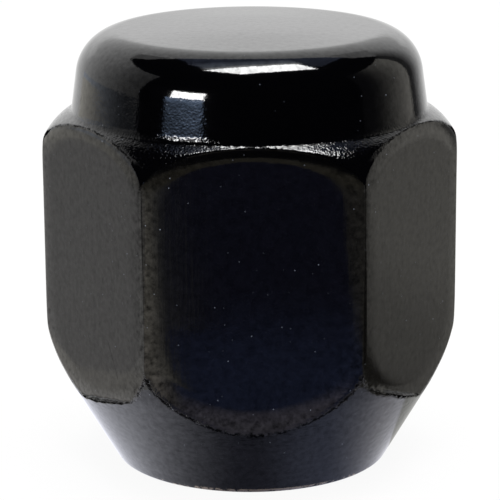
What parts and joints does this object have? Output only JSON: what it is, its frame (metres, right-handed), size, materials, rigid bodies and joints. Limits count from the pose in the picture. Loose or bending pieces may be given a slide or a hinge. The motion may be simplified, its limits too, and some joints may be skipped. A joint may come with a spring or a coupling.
{
  "type": "lug nut",
  "caption": "Closed-end conical-seat lug nut: a hexagon for the wrench with a rounded shoulder and smooth cap above it, a tapered seat below it and a blind threaded bore.",
  "frame": {"origin": "centre of the ring at the small end of the seat cone, which the nut stands on", "axes": "+Z along the thread's axis from the seat end to the cap, -Y out of a flat of the hexagon, X through two of its upright edges"},
  "size_m": [0.0242, 0.021, 0.0254],
  "materials": {
    "black_coat": "gloss"
  },
  "bodies": {
    "root": {"lug_nut": "black_coat"}
  },
  "joints": []
}
